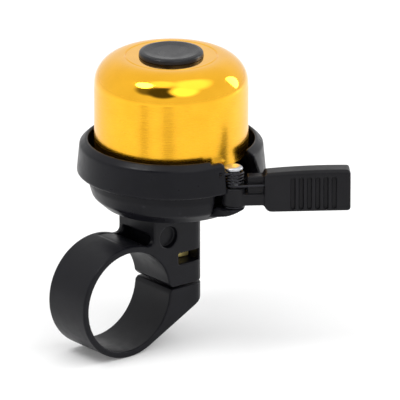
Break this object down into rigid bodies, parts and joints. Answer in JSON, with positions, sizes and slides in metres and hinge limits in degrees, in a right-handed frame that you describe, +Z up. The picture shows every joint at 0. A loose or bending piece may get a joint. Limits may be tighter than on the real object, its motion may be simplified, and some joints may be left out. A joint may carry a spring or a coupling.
{
  "type": "bicycle bell",
  "caption": "Mini bicycle bell: gold dome on a black saucer, sprung thumb lever that swings a hammer inside, and a screwed split clamp for a handlebar.",
  "frame": {"origin": "centre of the handlebar clamp's bore", "axes": "+Z up from the handlebar to the dome, +Y along the handlebar, +X to the side where the clamp is split"},
  "size_m": [0.0522, 0.056, 0.0646],
  "materials": {
    "gold_dome": "gold anodised, bright on the shoulder and satin on the side",
    "bracket_plastic": "satin moulded black",
    "saucer_plastic": "satin moulded black",
    "lever_plastic": "satin moulded black",
    "cap_plastic": "satin moulded black",
    "steel": "zinc plated",
    "dark_steel": "black oxide",
    "spring_steel": "bright drawn",
    "brass_nut": "yellow passivated",
    "brass": "turned",
    "nylon": "natural nylon",
    "aluminium": "cut tube"
  },
  "bodies": {
    "body": {"clamp_bracket": "bracket_plastic", "base_saucer": "saucer_plastic", "dome": "gold_dome", "top_cap": "cap_plastic", "centre_screw": "steel", "dome_washer": "steel", "spring_washer": "spring_steel", "dome_bush": "nylon", "centre_sleeve": "aluminium", "base_nut": "steel", "clamp_nut": "brass_nut", "clamp_washer": "steel", "clamp_screw": "steel", "pivot_pin": "steel", "pivot_washer": "dark_steel", "torsion_spring": "dark_steel"},
    "lever": {"thumb_lever": "lever_plastic", "arm_rivet": "steel"},
    "hammer": {"hammer_arm": "spring_steel", "hammer_head": "brass"}
  },
  "joints": [
    {"name": "lever_swing", "type": "hinge", "parent": "body", "child": "lever", "pos_m": [0.0179, -0.0194, 0.0242], "axis": [0, 0, 1], "range_deg": [0, 20], "stiffness_Nm_per_rad": 0.06, "springref_deg": -20.05, "deforming": ["torsion_spring"]},
    {"name": "hammer_flex", "type": "hinge", "parent": "lever", "child": "hammer", "pos_m": [0.01944, -0.0156, 0.02495], "axis": [0, 0, 1], "range_deg": [-7, 7], "stiffness_Nm_per_rad": 0.002}
  ]
}
